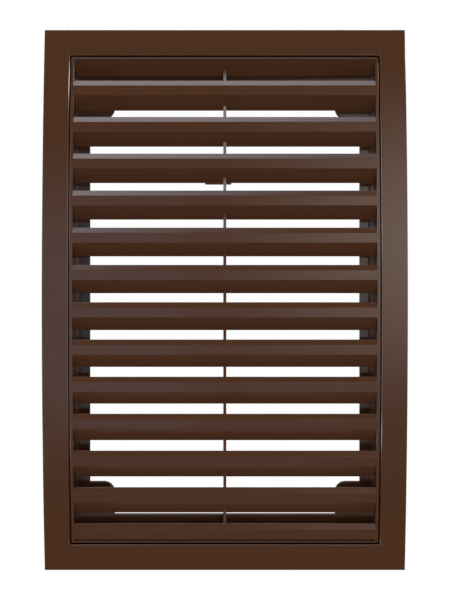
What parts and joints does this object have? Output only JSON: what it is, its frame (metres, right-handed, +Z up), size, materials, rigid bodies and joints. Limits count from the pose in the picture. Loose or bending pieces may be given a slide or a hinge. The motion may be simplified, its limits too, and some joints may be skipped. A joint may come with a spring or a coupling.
{
  "type": "ventilation grille",
  "caption": "Upright wall ventilation grille with an arched front: a plastic frame screwed to the wall and a louvre panel of sloping slats that pulls out of it.",
  "frame": {"origin": "middle of the four wall screw holes, on the plane of the wall", "axes": "+X to the right across the grille as seen from the room, +Y into the wall, +Z up along the grille's height; the arched front faces -Y"},
  "size_m": [0.3, 0.029, 0.45],
  "materials": {
    "frame_plastic": "semi-gloss chocolate brown ABS with a faint moulded grain",
    "louvre_plastic": "semi-gloss chocolate brown ABS, smooth"
  },
  "bodies": {
    "base": {"base_frame": "frame_plastic"},
    "louvre_panel": {"louvre_rim": "louvre_plastic", "header_blade": "louvre_plastic", "slat_01": "louvre_plastic", "slat_02": "louvre_plastic", "slat_03": "louvre_plastic", "slat_04": "louvre_plastic", "slat_05": "louvre_plastic", "slat_06": "louvre_plastic", "slat_07": "louvre_plastic", "slat_08": "louvre_plastic", "slat_09": "louvre_plastic", "slat_10": "louvre_plastic", "slat_11": "louvre_plastic", "slat_12": "louvre_plastic", "slat_13": "louvre_plastic", "centre_rib": "louvre_plastic"}
  },
  "joints": [
    {"name": "panel_pull", "type": "slide", "parent": "base", "child": "louvre_panel", "axis": [0, -1, 0], "range_m": [0, 0.06]}
  ]
}
